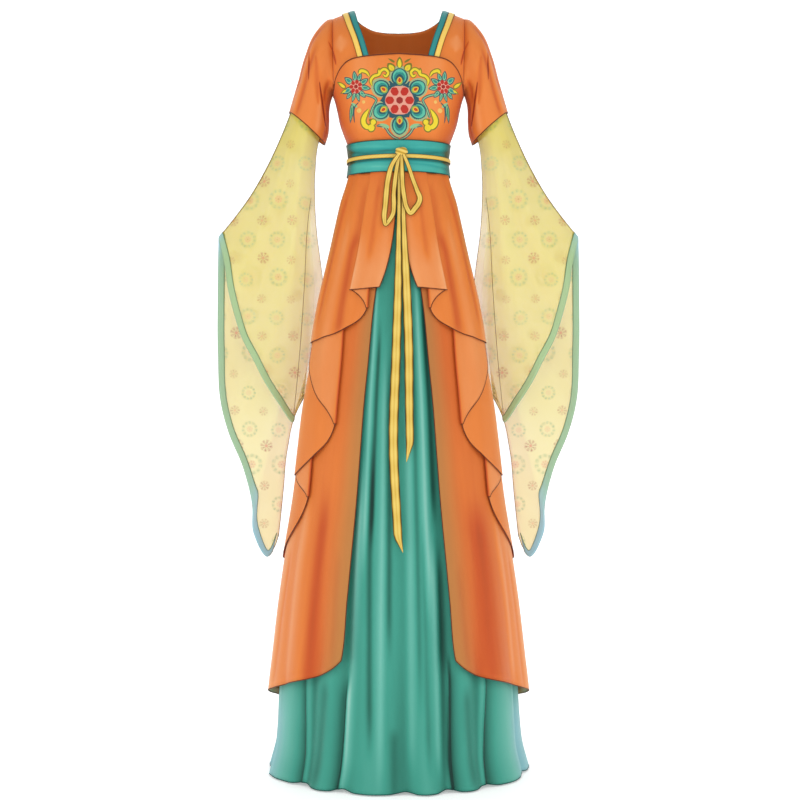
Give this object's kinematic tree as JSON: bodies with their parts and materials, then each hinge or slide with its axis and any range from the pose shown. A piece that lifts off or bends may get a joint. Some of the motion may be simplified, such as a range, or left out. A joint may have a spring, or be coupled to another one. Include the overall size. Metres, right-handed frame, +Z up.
{
  "type": "hanfu robe",
  "caption": "Floor-length hanfu robe in its worn hollow form, with short sleeves over hanging gauze sleeves, a sash with a tied cord, and layered skirts.",
  "frame": {"origin": "midway between the shoulders, on the level of the shoulder line, where the wearer holds the robe up", "axes": "+Z up, the robe's front faces -Y, the wearer's left is +X"},
  "size_m": [0.7252, 0.4963, 1.5088],
  "materials": {
    "orange_silk": "satin weave silk, soft sheen",
    "teal_silk": "satin weave silk, soft sheen",
    "sash_teal_silk": "plain weave silk, soft sheen",
    "yellow_cord": "woven silk ribbon",
    "yellow_gauze": "sheer silk gauze, matt",
    "green_border": "woven silk trim"
  },
  "bodies": {
    "root": {"chest_panel": "orange_silk", "back_bodice": "orange_silk", "neck_band_inner": "sash_teal_silk", "neck_band_outer": "yellow_cord", "left_yoke": "orange_silk", "right_yoke": "orange_silk", "left_short_sleeve": "orange_silk", "right_short_sleeve": "orange_silk", "left_gauze_sleeve": "yellow_gauze", "right_gauze_sleeve": "yellow_gauze", "left_gauze_border": "green_border", "right_gauze_border": "green_border", "underskirt_front": "teal_silk", "underskirt_back": "teal_silk", "overskirt_left_front": "orange_silk", "overskirt_right_front": "orange_silk", "overskirt_back": "orange_silk", "overlay_left_front": "orange_silk", "overlay_right_front": "orange_silk", "overlay_back": "orange_silk", "sash": "sash_teal_silk", "waist_cord": "yellow_cord", "knot": "yellow_cord", "left_bow_loop": "yellow_cord", "right_bow_loop": "yellow_cord", "left_tail": "yellow_cord", "right_tail": "yellow_cord"}
  },
  "joints": []
}
